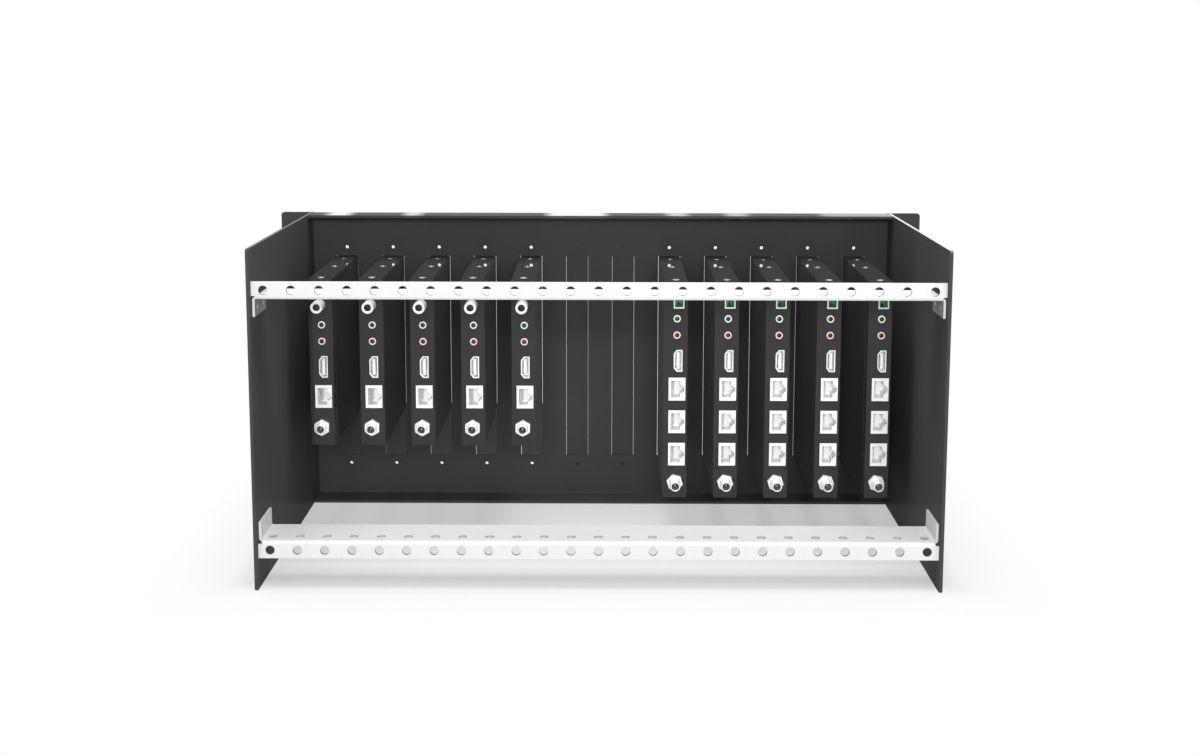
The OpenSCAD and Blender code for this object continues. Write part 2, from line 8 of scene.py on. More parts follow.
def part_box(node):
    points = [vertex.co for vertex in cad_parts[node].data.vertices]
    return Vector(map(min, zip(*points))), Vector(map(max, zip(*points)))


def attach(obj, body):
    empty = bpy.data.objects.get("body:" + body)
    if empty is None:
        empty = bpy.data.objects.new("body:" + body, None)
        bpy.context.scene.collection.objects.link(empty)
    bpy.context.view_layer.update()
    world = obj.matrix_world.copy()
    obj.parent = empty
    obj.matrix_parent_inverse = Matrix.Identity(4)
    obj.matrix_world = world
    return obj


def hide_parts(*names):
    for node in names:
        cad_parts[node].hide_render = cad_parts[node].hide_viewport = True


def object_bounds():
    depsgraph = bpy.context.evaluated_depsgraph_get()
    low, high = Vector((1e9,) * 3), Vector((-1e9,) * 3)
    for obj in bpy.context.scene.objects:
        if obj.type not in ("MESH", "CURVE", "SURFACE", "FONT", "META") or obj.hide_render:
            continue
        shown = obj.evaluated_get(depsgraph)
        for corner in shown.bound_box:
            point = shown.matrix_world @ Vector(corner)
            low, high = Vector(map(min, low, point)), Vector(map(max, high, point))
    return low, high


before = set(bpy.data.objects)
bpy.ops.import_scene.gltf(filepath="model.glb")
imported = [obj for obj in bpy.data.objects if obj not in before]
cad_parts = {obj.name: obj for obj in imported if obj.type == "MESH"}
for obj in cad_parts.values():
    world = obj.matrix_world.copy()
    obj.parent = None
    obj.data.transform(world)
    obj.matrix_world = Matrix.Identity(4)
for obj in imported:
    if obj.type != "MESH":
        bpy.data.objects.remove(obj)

cad_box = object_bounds()
MM = 0.001
FLOOR_Z, FLOOR_SIZE = -0.2 * MM, 24.0
# How plain white the floor is: mm outside the frame's outline, and level
FLOOR_LIFT = ((-20.0, 0.43), (0.0, 0.78), (60.0, 1.0), (80.0, 1.0))

# Module slots, counted from the left as seen from the rear
SHORT_SLOTS = (1, 2, 3, 4, 5)
TALL_SLOTS = (8, 9, 10, 11, 12)
BLANK_SLOTS = (6, 7)
MODULE_SLOTS = SHORT_SLOTS + TALL_SLOTS

# Places of the sockets on a module's rear face: mm right of its middle, mm below its top
SHORT_SOCKETS = {
    "coax": [(-0.7, 18.5)],
    "green": [(0.6, 32.4)],
    "red": [(0.6, 43.9)],
    "video": [(1.2, 62.0)],
    "network": [(0.9, 83.0)],
    "power": [(-0.7, 104.9)],
}
TALL_SOCKETS = {
    "coax": [],
    "green": [(0.8, 26.3)],
    "red": [(0.8, 37.7)],
    "video": [(1.7, 55.7)],
    "network": [(1.1, 75.6), (1.1, 98.6), (1.1, 121.6)],
    "power": [(0.0, 141.5)],
}

# Sizes of the sockets, in mm: diameters, reach out of the rear face and stem inside it
COAX_D, COAX_BORE_D, COAX_REACH, COAX_STEM = 8.2, 4.9, 11.0, 5.0
COAX_CORE_D, COAX_CORE_BORE_D, COAX_CORE_REACH = 3.3, 2.0, 5.0
AUDIO_D, AUDIO_BORE_D, AUDIO_REACH, AUDIO_STEM, AUDIO_FLOOR = 5.0, 3.3, 0.9, 8.0, 1.0
POWER_D, POWER_BORE_D, POWER_PIN_D, POWER_STEM, POWER_FLOOR = 7.3, 5.2, 2.0, 8.0, 2.0
POWER_REACH = {SHORT_SLOTS: 5.0, TALL_SLOTS: 9.0}
NUT_T, POWER_PIN_BACK = 2.4, 3.0
THREAD_PITCH, THREAD_DEPTH = 0.75, 0.32
NETWORK_W, NETWORK_WALL = 11.5, 1.6
TONGUE_T, TONGUE_BACK, VIDEO_DEPTH = 1.7, 0.8, 7.0
# How far the sockets that aren't round stand out of the rear face, in mm
NETWORK_OUT, VIDEO_OUT, TERMINAL_OUT = 0.3, 0.4, 0.5
# Blunt tip of a power socket's pin: radius and distance from its end, as shares of the pin's radius
PIN_TIP = ((1.0, 0.5), (0.8, 0.15), (0.4, 0.0), (0.0, 0.0))
# Route of a network socket's contact wire: mm off the socket's left wall, mm into the module
CONTACT_ROUTE = ((0.25, 9.6), (0.25, 2.6), (0.5, 1.9), (0.95, 1.9), (2.4, 8.6))

# Sizes of the screws, in mm
COVER_HEAD_D, COVER_CROWN, COVER_SCREW_D, COVER_SCREW_L = 5.0, 0.25, 2.5, 5.0
# Outline of the crown: radius and height, as shares of the head's radius and the crown's height
CROWN_SHAPE = ((0.94, 0.45), (0.8, 0.72), (0.5, 0.93), (0.0, 1.0))
# Places of the cover screws: mm behind the case's front end, and mm before its rear end
COVER_SCREW_PLACES, COVER_SCREW_REAR = (15.0, 51.0), 3.4
BAR_HEAD_D, BAR_SCREW_D, BAR_SCREW_L = 5.6, 3.0, 3.8
# Cross recess: width, length and depth as shares of the head, and its foot's taper
RECESS_W, RECESS_L, RECESS_DEPTH, RECESS_TAPER = 0.2, 0.76, 0.2, (0.6, 0.2, 1.0)

# Dark strips in the slots of the short modules that stand in for shade, in mm: width, depth, foot, and
# reach beside the case
SHADE_STRIP_W, SHADE_STRIP_D, SHADE_STRIP_FOOT_Z, SHADE_STRIP_REACH = 0.33, 1.6, 32.4, 3.0
SHADE_STRIP_EDGE = 0.3 * SHADE_STRIP_W
PLUG_GAP, PANEL_T = 0.35, 2.0

# Where the frame's paint changes its gloss, in mm
TOP_EDGE_Z, SIDE_PANEL_X, PANEL_REAR_Y = 218.6, 217.2, 97.4
# Gloss of the left side panel's upper edge, and of both side panels below it; the right upper edge is
# fully glossy, a painted highlight
LEFT_EDGE_GLOSS, SIDE_GLOSS = 0.12, 0.05
# Painted glints: glossy stretches along the top flange that stand in for lamp reflections; from and to
# along X in mm, and how shiny
GLINT_STRETCHES = (
    (-203.0, -187.0, 1.0),
    (-146.0, -134.0, 0.75),
    (-39.0, 4.0, 1.0),
    (50.0, 65.0, 0.6),
    (94.0, 110.0, 0.52),
    (165.0, 222.0, 0.42),
)
# Half the length over which a stretch fades at its ends, and the length they are all set out on
STRETCH_FADE, STRETCH_SPAN = 4.0, 480.0

# Tie holes of the cable bars, in mm: two rows on each bar, alike above and below the middle height
TIE_D, TIE_PITCH, TIE_ROW_Y, TIE_ROW_Z, MIDDLE_Z = 5.8, 17.46, -90.05, 84.05, 110.25
BAR_TAB_X, BAR_TAB_Y = 215.3, -96.4
# How far the dark of a tie hole reaches past its wall, in mm, and its share in the flanges, where it is
# painted shade
TIE_EDGE, FLANGE_HOLE_SHADE = 0.05, 0.35


class Value:
    """A socket of a finish. Operators on it add Math nodes."""

    def __init__(self, finish, socket):
        self.finish = finish
        self.socket = socket

    def math(self, operation, *operands):
        sockets = dict(enumerate(operands))
        return self.finish.node("ShaderNodeMath", {"operation": operation}, sockets)

    def __add__(self, other):
        return self.math("ADD", self, other)

    __radd__ = __add__

    def __sub__(self, other):
        return self.math("SUBTRACT", self, other)

    def __rsub__(self, other):
        return self.math("SUBTRACT", other, self)

    def __mul__(self, other):
        return self.math("MULTIPLY", self, other)

    __rmul__ = __mul__

    def __gt__(self, other):
        return self.math("GREATER_THAN", self, other)

    def __abs__(self):
        return self.math("ABSOLUTE", self)

    def wrapped(self, pitch):
        """Distance to the nearest whole number of pitches."""
        return self.math("WRAP", self, pitch / 2, -pitch / 2)

    def max(self, other):
        return self.math("MAXIMUM", self, other)


class Finish:
    """A node tree, and one method that adds any node to it."""

    def __init__(self, owner):
        self.owner = owner
        owner.use_nodes = True
        self.tree = owner.node_tree
        self.tree.nodes.clear()

    def node(self, kind, settings=None, sockets=None, out=0):
        made = self.tree.nodes.new(kind)
        for name, value in (settings or {}).items():
            if name == "stops":
                self.set_stops(made.color_ramp, value)
            else:
                setattr(made, name, value)
        for name, value in (sockets or {}).items():
            if isinstance(value, Value):
                self.tree.links.new(value.socket, made.inputs[name])
            else:
                made.inputs[name].default_value = value
        return Value(self, made.outputs[out]) if made.outputs else None

    @staticmethod
    def set_stops(ramp, stops):
        while len(ramp.elements) < len(stops):
            ramp.elements.new(1.0)
        for element, (place, level) in zip(ramp.elements, stops):
            element.position = place
            element.color = grey(level)

    def place(self):
        return self.node("ShaderNodeTexCoord", out="Object")

    def along(self, axis):
        """Place along an axis, in mm."""
        return self.node("ShaderNodeSeparateXYZ", sockets={"Vector": self.place()}, out=axis) * (1 / MM)

    def noise(self, scale, detail=2.0, stretch=(1.0, 1.0, 1.0)):
        """Noise from 0 to 1, with about scale lumps in a metre along each unstretched axis."""
        spread_out = self.node("ShaderNodeMapping", sockets={"Vector": self.place(), "Scale": stretch})
        sockets = {"Vector": spread_out, "Scale": scale, "Detail": detail}
        return self.node("ShaderNodeTexNoise", sockets=sockets)

    def ramp(self, value, stops):
        """Level at a value, from stops (value, level) in rising order."""
        low, high = stops[0][0], stops[-1][0]
        placed = [((at - low) / (high - low), level) for at, level in stops]
        share = (value - low) * (1 / (high - low))
        return self.node("ShaderNodeValToRGB", {"stops": placed}, {"Fac": share})

    def mix(self, factor, first, second):
        sockets = {0: factor, 6: first, 7: second}
        return self.node("ShaderNodeMix", {"data_type": "RGBA"}, sockets, out=2)

    def bump(self, height, strength, distance):
        sockets = {"Height": height, "Strength": strength, "Distance": distance}
        return self.node("ShaderNodeBump", sockets=sockets)

    def surface(self, **sockets):
        """Ends a material in one Principled shader."""
        named = {name.replace("_", " "): value for name, value in sockets.items()}
        shader = self.node("ShaderNodeBsdfPrincipled", sockets=named)
        self.node("ShaderNodeOutputMaterial", sockets={"Surface": shader})
        return self.owner


def new_finish(name):
    return Finish(bpy.data.materials.new(name))


def grey(level, tint=(1.0, 1.0, 1.0)):
    return tuple(level * part for part in tint) + (1.0,)


# Finishes


def powder_coat(name, level, roughness, grain, gloss, coat=None):
    """Black paint on sheet steel: orange peel, slow drifts of tone, a coat in places that also paints
    glints and a highlight.
    """
    f = new_finish(name)
    cloud = f.noise(24, 3)
    speck = f.noise(1500, 2)
    peel = f.noise(620, 2)
    tone = f.mix(cloud * 0.55 + speck * 0.45, grey(level * 0.86), grey(level * 1.14))
    return f.surface(
        Base_Color=tone,
        Roughness=roughness * (0.85 + 0.3 * cloud),
        Specular_IOR_Level=gloss,
        Coat_Weight=coat(f) if coat else 0.0,
        Coat_Roughness=0.16,
        Sheen_Weight=0.02,
        Sheen_Roughness=0.5,
        Normal=f.bump(peel * 0.7 + speck * 0.3, grain, 0.0002),
    )


def glint_stretches(f):
    """Painted glints: how shiny the top flange is along X, in stretches that fade out at both ends."""
    stops = [(-STRETCH_SPAN / 2, 0.0)]
    for first, last, level in GLINT_STRETCHES:
        stops += [(first - STRETCH_FADE, 0.0), (first + STRETCH_FADE, level)]
        stops += [(last - STRETCH_FADE, level), (last + STRETCH_FADE, 0.0)]
    stops.append((STRETCH_SPAN / 2, 0.0))
    return f.ramp(f.along("X"), stops)


def frame_gloss(f):
    """Faint gloss on the side panels, more on their upper edges, most on the right one as a painted
    highlight; painted glints on the top flange.
    """
    top = f.along("Z") > TOP_EDGE_Z
    side = (abs(f.along("X")) > SIDE_PANEL_X) * (PANEL_REAR_Y - f.along("Y") > 0.0)
    # Painted highlight: the right side panel's upper edge gets full gloss, the left one little
    edge_highlight = LEFT_EDGE_GLOSS + (1.0 - LEFT_EDGE_GLOSS) * (f.along("X") > 0.0)
    upper = side * edge_highlight + (1.0 - side) * glint_stretches(f)
    return top * upper + (1.0 - top) * side * SIDE_GLOSS


def tie_hole_walls(f):
    """1 on the walls of the tie holes in the bars' faces, less in their flanges, where it is painted
    shade; 0 elsewhere.
    """
    across = f.along("X").wrapped(TIE_PITCH)
    deep = f.along("Y") - TIE_ROW_Y
    high = abs(f.along("Z") - MIDDLE_Z) - TIE_ROW_Z
    reach = (TIE_D / 2 + TIE_EDGE) ** 2
    in_flange = reach - (across * across + deep * deep) > 0.0
    in_face = reach - (across * across + high * high) > 0.0
    return in_face.max(in_flange * FLANGE_HOLE_SHADE)


def zinc_plate():
    """Bright zinc on brushed sheet: fine lines, cloudy patches, dark holes, painted shade on the upper
    tabs.
    """
    f = new_finish("zinc_plate")
    lines = f.noise(1400, 3, (1.0, 0.02, 0.02))
    cloud = f.noise(60, 3)
    grain = f.noise(900, 2)
    # Painted shade: the upper tabs, but for their front edges, get a darker and more metallic finish
    shaded_tabs = (abs(f.along("X")) > BAR_TAB_X) * (f.along("Y") > BAR_TAB_Y) * (f.along("Z") > MIDDLE_Z)
    plated = f.mix(cloud * 0.5 + lines * 0.5, grey(0.67), grey(0.77))
    sheet = f.mix(shaded_tabs, plated, grey(0.42))
    return f.surface(
        Base_Color=f.mix(tie_hole_walls(f), sheet, grey(0.16)),
        Metallic=0.1 + 0.85 * shaded_tabs,
        Roughness=0.53 + 0.16 * lines + 0.08 * cloud,
        Normal=f.bump(lines * 0.7 + grain * 0.3, 0.12, 0.0001),
    )


def nickel_plate():
    """Bright nickel with a faint satin grain."""
    f = new_finish("nickel")
    grain = f.noise(2600, 2)
    cloud = f.noise(220, 2)
    return f.surface(
        Base_Color=f.mix(cloud, grey(0.93, (1.0, 1.0, 0.99)), grey(0.98, (1.0, 1.0, 0.99))),
        Metallic=0.4,
        Roughness=0.27 + 0.14 * grain,
        Normal=f.bump(grain, 0.05, 0.00005),
    )


def steel(name, level, metallic):
    """Machine-made screw steel with turned marks."""
    f = new_finish(name)
    marks = f.noise(1800, 3)
    return f.surface(
        Base_Color=f.mix(marks, grey(level * 0.8), grey(level * 1.1)),
        Metallic=metallic,
        Roughness=0.22 + 0.14 * marks,
        Normal=f.bump(marks, 0.08, 0.00005),
    )


def moulded(name, dark, pale, roughness):
    """Moulded plastic: even colour, slight flow marks, spark-eroded grain."""
    f = new_finish(name)
    flow = f.noise(150, 2)
    pits = f.noise(900, 2)
    return f.surface(
        Base_Color=f.mix(flow, dark + (1.0,), pale + (1.0,)),
        Roughness=roughness - 0.06 + 0.12 * pits,
        Normal=f.bump(pits, 0.1, 0.0001),
    )


def sunk_into_module(f, stand_out):
    """0 on the outer half of what stands out of a module's rear face, 1 on all that lies deeper."""
    short_y, tall_y = (rear_face(slots[0]).y / MM for slots in (SHORT_SLOTS, TALL_SLOTS))
    face = short_y + (f.along("X") > 0.0) * (tall_y - short_y)
    return f.along("Y") > face - stand_out / 2


def lined_socket(name, stand_out, rim, rim_metallic, lining, lining_metallic):
    """A socket whose rim shows one finish and whose cavity shows another."""
    f = new_finish(name)
    flow = f.noise(180, 2)
    grain = f.noise(1600, 2)
    sunk = sunk_into_module(f, stand_out)
    outer = f.mix(flow, rim[0] + (1.0,), rim[1] + (1.0,))
    inner = f.mix(flow, lining[0] + (1.0,), lining[1] + (1.0,))
    return f.surface(
        Base_Color=f.mix(sunk, outer, inner),
        Metallic=rim_metallic + (lining_metallic - rim_metallic) * sunk,
        Roughness=0.3 + 0.1 * grain + 0.12 * sunk,
        Normal=f.bump(grain, 0.06, 0.00005),
    )


# Modelling


def start():
    if bpy.context.object and bpy.context.object.mode != "OBJECT":
        bpy.ops.object.mode_set(mode="OBJECT")
    bpy.ops.object.select_all(action="DESELECT")


def choose_faces(test):
    """Leaves in edit mode with only those faces selected that pass the test."""
    mesh = bpy.context.object.data
    bpy.ops.object.mode_set(mode="EDIT")
    bpy.ops.mesh.select_mode(type="FACE")
    bpy.ops.mesh.select_all(action="DESELECT")
    bpy.ops.object.mode_set(mode="OBJECT")
    for face in mesh.polygons:
        face.select = test(face)
    bpy.ops.object.mode_set(mode="EDIT")


def done(name, smooth_angle=35.0):
    """Closes the mesh that is being edited, with its place kept in its mesh."""
    bpy.ops.object.mode_set(mode="EDIT")
    bpy.ops.mesh.select_all(action="SELECT")
    bpy.ops.mesh.remove_doubles(threshold=1e-6)
    bpy.ops.mesh.normals_make_consistent(inside=False)
    bpy.ops.object.mode_set(mode="OBJECT")
    piece = bpy.context.object
    bpy.ops.object.transform_apply(location=True, rotation=True, scale=True)
    bpy.ops.object.shade_smooth_by_angle(angle=math.radians(smooth_angle))
    piece.name = name
    piece.data.name = name
    return piece


def draw_chain(points):
    """Leaves in edit mode with edges through points (x, y, z) in mm, all of them selected."""
    start()
    bpy.ops.mesh.primitive_plane_add(size=MM)
    bpy.ops.object.mode_set(mode="EDIT")
    bpy.ops.mesh.select_mode(type="VERT")
    bpy.ops.mesh.merge(type="CENTER")
    places = [Vector(point) * MM for point in points]
    bpy.ops.transform.translate(value=places[0])
    for before, after in zip(places, places[1:]):
        bpy.ops.mesh.extrude_vertices_move(TRANSFORM_OT_translate={"value": after - before})
    bpy.ops.mesh.select_all(action="SELECT")


def turned(name, profile, steps=32):
    """A turned piece about Y: the profile is (radius, reach towards the rear), in mm."""
    draw_chain([(radius, -reach, 0.0) for radius, reach in profile])
    bpy.ops.mesh.spin(steps=steps, angle=2 * math.pi, center=(0, 0, 0), axis=(0, 1, 0))
    return done(name)


def bent_wire(name, points, width):
    """A square wire with mitred bends along points (right, into the module), in mm."""
    middle = [Vector(point) for point in points]
    runs = [(after - before).normalized() for before, after in zip(middle, middle[1:])]
    near, far = [], []
    for point, before, after in zip(middle, runs[:1] + runs, runs + runs[-1:]):
        along = (before + after).normalized()
        across = Vector((-along.y, along.x)) * (width / 2 / along.dot(before))
        near.append((*(point + across), -width / 2))
        far.append((*(point - across), -width / 2))
    draw_chain(near + far[::-1])
    bpy.ops.mesh.edge_face_add()
    bpy.ops.mesh.extrude_region_move(TRANSFORM_OT_translate={"value": (0, 0, width * MM)})
    return done(name)


def recess_wedge(width, length, depth, turn):
    """One of the two crossed wedges that cut a screw's recess, with its mouth at the origin."""
    start()
    bpy.ops.mesh.primitive_cube_add(size=1.0)
    bpy.ops.transform.resize(value=(width * MM, length * MM, 2 * depth * MM))
    bpy.ops.object.transform_apply(location=True, rotation=True, scale=True)
    choose_faces(lambda face: face.normal.z < -0.9)
    bpy.ops.transform.resize(value=RECESS_TAPER)
    bpy.ops.object.mode_set(mode="OBJECT")
    wedge = bpy.context.object
    wedge.data.transform(Matrix.Rotation(turn, 4, "Z"))
    return wedge


def cross_screw(name, profile, head_d, top):
    """A turned screw that faces +Z, with a cross recess sunk into its head from the height top."""
    screw = turned(name, profile)
    screw.data.transform(Matrix.Rotation(-math.pi / 2, 4, "X"))
    for turn in (0.0, math.pi / 2):
        sizes = (share * head_d for share in (RECESS_W, RECESS_L, RECESS_DEPTH))
        wedge = recess_wedge(*sizes, turn)
        wedge.data.transform(Matrix.Translation((0, 0, top * MM)))
        cut = screw.modifiers.new("recess", "BOOLEAN")
        cut.operation = "DIFFERENCE"
        cut.solver = "EXACT"
        cut.object = wedge
        start()
        bpy.context.view_layer.objects.active = screw
        screw.select_set(True)
        bpy.ops.object.modifier_apply(modifier=cut.name)
        bpy.data.objects.remove(wedge)
    return done(name, smooth_angle=30.0)


def finish_faces(piece, *finishes, radii=()):
    """Gives a piece its finishes. On a turned one, each radius in mm starts the next one inwards."""
    for finish in finishes:
        piece.data.materials.append(finish)
    for face in piece.data.polygons:
        face.material_index = sum(from_axis(face) < radius for radius in radii)


def from_axis(face):
    """Distance of a turned piece's face from its axis, in mm."""
    return math.hypot(face.center.x, face.center.z) / MM


def spread(master, name, places):
    """Copies a modelled piece to every place, joins the copies and removes the first one."""
    start()
    for place in places:
        copy = master.copy()
        copy.data = master.data.copy()
        copy.data.transform(place)
        bpy.context.collection.objects.link(copy)
        copy.select_set(True)
        bpy.context.view_layer.objects.active = copy
    bpy.data.objects.remove(master)
    return join_selected(name)


def join_selected(name):
    bpy.ops.object.join()
    piece = bpy.context.object
    piece.name = name
    piece.data.name = name
    return piece


def fit(piece, slot, *nodes):
    """Puts a new piece on the frame and hides the nodes that it stands for. The slot is not used."""
    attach(piece, "root")
    if nodes:
        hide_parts(*nodes)


def paint(finish, *nodes):
    for node in nodes:
        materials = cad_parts[node].data.materials
        materials.clear()
        materials.append(finish)


# Places


def rear_face(slot):
    """Middle of a module's rear face, at the height of its top."""
    low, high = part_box(f"module_{slot}_rear_plate")
    return Vector(((low.x + high.x) / 2, low.y, high.z))


def socket_places(kind, slots=MODULE_SLOTS):
    places = []
    for slot in slots:
        sockets = SHORT_SOCKETS if slot in SHORT_SLOTS else TALL_SOCKETS
        for right, drop in sockets[kind]:
            places.append(Matrix.Translation(rear_face(slot) + Vector((right, 0, -drop)) * MM))
    return places


def cover_screw_places():
    places = []
    for slot in MODULE_SLOTS:
        low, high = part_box(f"module_{slot}_case")
        behind_panel = [high.y - depth * MM for depth in COVER_SCREW_PLACES]
        for y in behind_panel + [low.y + COVER_SCREW_REAR * MM]:
            places.append(Matrix.Translation(((low.x + high.x) / 2, y, high.z)))
    return places


def bar_screw_places():
    """Heads on the side panels' outsides, two at each end of each bar."""
    low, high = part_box("cable_bar_screws")
    head_r = BAR_HEAD_D / 2 * MM
    places = []
    for x, turn in ((low.x, -math.pi / 2), (high.x, math.pi / 2)):
        for y in (low.y + head_r, high.y - head_r):
            for z in (low.z + head_r, high.z - head_r):
                places.append(Matrix.Translation((x, y, z)) @ Matrix.Rotation(turn, 4, "Y"))
    return places


# Pieces


def make_cover_screws(finish):
    """Countersunk screws with low crowns in the modules' tops."""
    head, shank, top = COVER_HEAD_D / 2, COVER_SCREW_D / 2, COVER_CROWN
    cone = [(0.0, -COVER_SCREW_L), (shank, -COVER_SCREW_L), (shank, shank - head), (head, 0.0)]
    crown = [(across * head, up * top) for across, up in CROWN_SHAPE]
    screw = cross_screw("cover_screw", cone + crown, COVER_HEAD_D, top)
    finish_faces(screw, finish)
    fit(spread(screw, "cross_cover_screws", cover_screw_places()), "bright_steel", "cover_screws")


def make_bar_screws(finish):
    """Countersunk screws through the side panels into the cable bars' tabs."""
    head, shank, blunt = BAR_HEAD_D / 2, BAR_SCREW_D / 2, 0.15
    cone = [(shank, shank - head), (head - blunt, -blunt), (head - 2 * blunt, 0.0)]
    profile = [(0.0, -BAR_SCREW_L), (shank, -BAR_SCREW_L)] + cone + [(0.0, 0.0)]
    screw = cross_screw("bar_screw", profile, BAR_HEAD_D, 0.0)
    finish_faces(screw, finish)
    fit(spread(screw, "cross_bar_screws", bar_screw_places()), "bright_steel", "cable_bar_screws")


def make_coax_sockets(nickel, plastic):
    rim, bore, core, hole = (d / 2 for d in (COAX_D, COAX_BORE_D, COAX_CORE_D, COAX_CORE_BORE_D))
    end, core_end, edge = COAX_REACH, COAX_CORE_REACH, 0.08
    barrel = [(0.0, -COAX_STEM), (rim, -COAX_STEM), (rim, end - edge), (rim - edge, end)]
    inside = [(bore + edge, end), (bore, end - edge), (bore, 0.0), (core, 0.0), (core, core_end - edge)]
    middle = [(core - edge, core_end), (hole, core_end), (hole, 0.0), (0.0, 0.0)]
    socket = turned("coax", barrel + inside + middle)
    finish_faces(socket, nickel, plastic, radii=(bore,))
    fit(spread(socket, "coax_barrels", socket_places("coax")), "nickel", "coax_sockets")


def make_audio_sockets(kind, slot, rim_finish, bore_finish):
    rim, bore, end, edge = AUDIO_D / 2, AUDIO_BORE_D / 2, AUDIO_REACH, 0.12
    stem = [(0.0, -AUDIO_STEM), (rim, -AUDIO_STEM)]
    ring = [(rim, end - edge), (rim - edge, end), (bore + edge, end)]
    inside = [(bore, end - edge), (bore, AUDIO_FLOOR - AUDIO_STEM), (0.0, AUDIO_FLOOR - AUDIO_STEM)]
    socket = turned(kind, stem + ring + inside)
    # Rim and bore get lit and shaded copies of one plastic: a painted highlight and painted shade
    finish_faces(socket, rim_finish, bore_finish, radii=(bore,))
    fit(spread(socket, kind + "_audio_rims", socket_places(kind)), slot, kind + "_audio_sockets")


def power_profile(end):
    """A threaded barrel round a centre pin with a blunt tip."""
    rim, root, bore, pin = POWER_D / 2, POWER_D / 2 - THREAD_DEPTH, POWER_BORE_D / 2, POWER_PIN_D / 2
    edge, tip, floor = 0.15, end - POWER_PIN_BACK, POWER_FLOOR - POWER_STEM
    profile = [(0.0, -POWER_STEM), (rim, -POWER_STEM), (rim, 0.0)]
    for turn in range(int((end - 2 * edge) / THREAD_PITCH)):
        profile += [(rim, (turn + 0.25) * THREAD_PITCH), (root, (turn + 0.75) * THREAD_PITCH)]
    profile += [(root, end - edge), (root - edge, end)]
    profile += [(bore + edge, end), (bore, end - edge), (bore, floor)]
    profile += [(pin, floor)]
    return profile + [(across * pin, tip - back * pin) for across, back in PIN_TIP]


def make_power_sockets(nickel, plastic, pin_finish):
    radii = (POWER_BORE_D / 2, POWER_PIN_D / 2)
    groups = []
    for slots, reach in POWER_REACH.items():
        socket = turned("power", power_profile(NUT_T + reach))
        finish_faces(socket, nickel, plastic, pin_finish, radii=radii)
        groups.append(spread(socket, "power_group", socket_places("power", slots)))
    start()
    for group in groups:
        group.select_set(True)
    bpy.context.view_layer.objects.active = groups[0]
    fit(join_selected("threaded_power_sockets"), "nickel", "power_sockets")


def make_network_contacts(finish):
    """Combs of eight sprung wires along the contact side of each network socket."""
    pitch, wire_w, wires = 1.02, 0.42, 8
    wall = NETWORK_WALL - NETWORK_W / 2
    wire = bent_wire("wire", [(wall + off, depth) for off, depth in CONTACT_ROUTE], wire_w)
    finish_faces(wire, finish)
    rows = [Matrix.Translation((0, 0, (i - (wires - 1) / 2) * pitch * MM)) for i in range(wires)]
    comb = spread(wire, "comb", rows)
    fit(spread(comb, "network_contacts", socket_places("network")), "nickel")


def make_video_contacts(finish):
    """Ten contact strips on each side of every video socket's tongue."""
    pitch, strip_w, strips = 1.0, 0.3, 10
    proud, bow, front, crest = 0.05, 0.12, 0.5, 1.6
    side = TONGUE_T / 2 + proud
    route = [(side, TONGUE_BACK + front), (side + bow, TONGUE_BACK + crest), (side, VIDEO_DEPTH)]
    strip = bent_wire("strip", route, strip_w)
    finish_faces(strip, finish)
    rows = []
    for i in range(strips):
        across = Matrix.Translation((0, 0, (i - (strips - 1) / 2) * pitch * MM))
        rows += [across, across @ Matrix.Rotation(math.pi, 4, "Y")]
    comb = spread(strip, "comb", rows)
    fit(spread(comb, "video_contacts", socket_places("video")), "nickel")


def make_gap_shade_strips(finish):
    """Dark strips that shut the gap right of each short module's plug, below its case, as painted
    shade.
    """
    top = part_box(f"module_{SHORT_SLOTS[0]}_case")[0].z / MM + SHADE_STRIP_REACH
    start()
    bpy.ops.mesh.primitive_cube_add(size=1.0)
    bpy.ops.transform.resize(value=Vector((SHADE_STRIP_W, SHADE_STRIP_D, top - SHADE_STRIP_FOOT_Z)) * MM)
    bpy.ops.object.transform_apply(location=True, rotation=True, scale=True)
    bpy.ops.object.mode_set(mode="EDIT")
    bpy.ops.mesh.select_all(action="SELECT")
    bpy.ops.mesh.bevel(offset=SHADE_STRIP_EDGE * MM, segments=2)
    shade_strip = done("shade_strip")
    finish_faces(shade_strip, finish)
    middle = Vector((PLUG_GAP / 2, PANEL_T / 2, (top + SHADE_STRIP_FOOT_Z) / 2)) * MM
    places = []
    for slot in SHORT_SLOTS:
        low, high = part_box(f"module_{slot}_bezel")
        places.append(Matrix.Translation(Vector((high.x, low.y, 0.0)) + middle))
    fit(spread(shade_strip, "gap_shade_strips", places), "black_plastic")


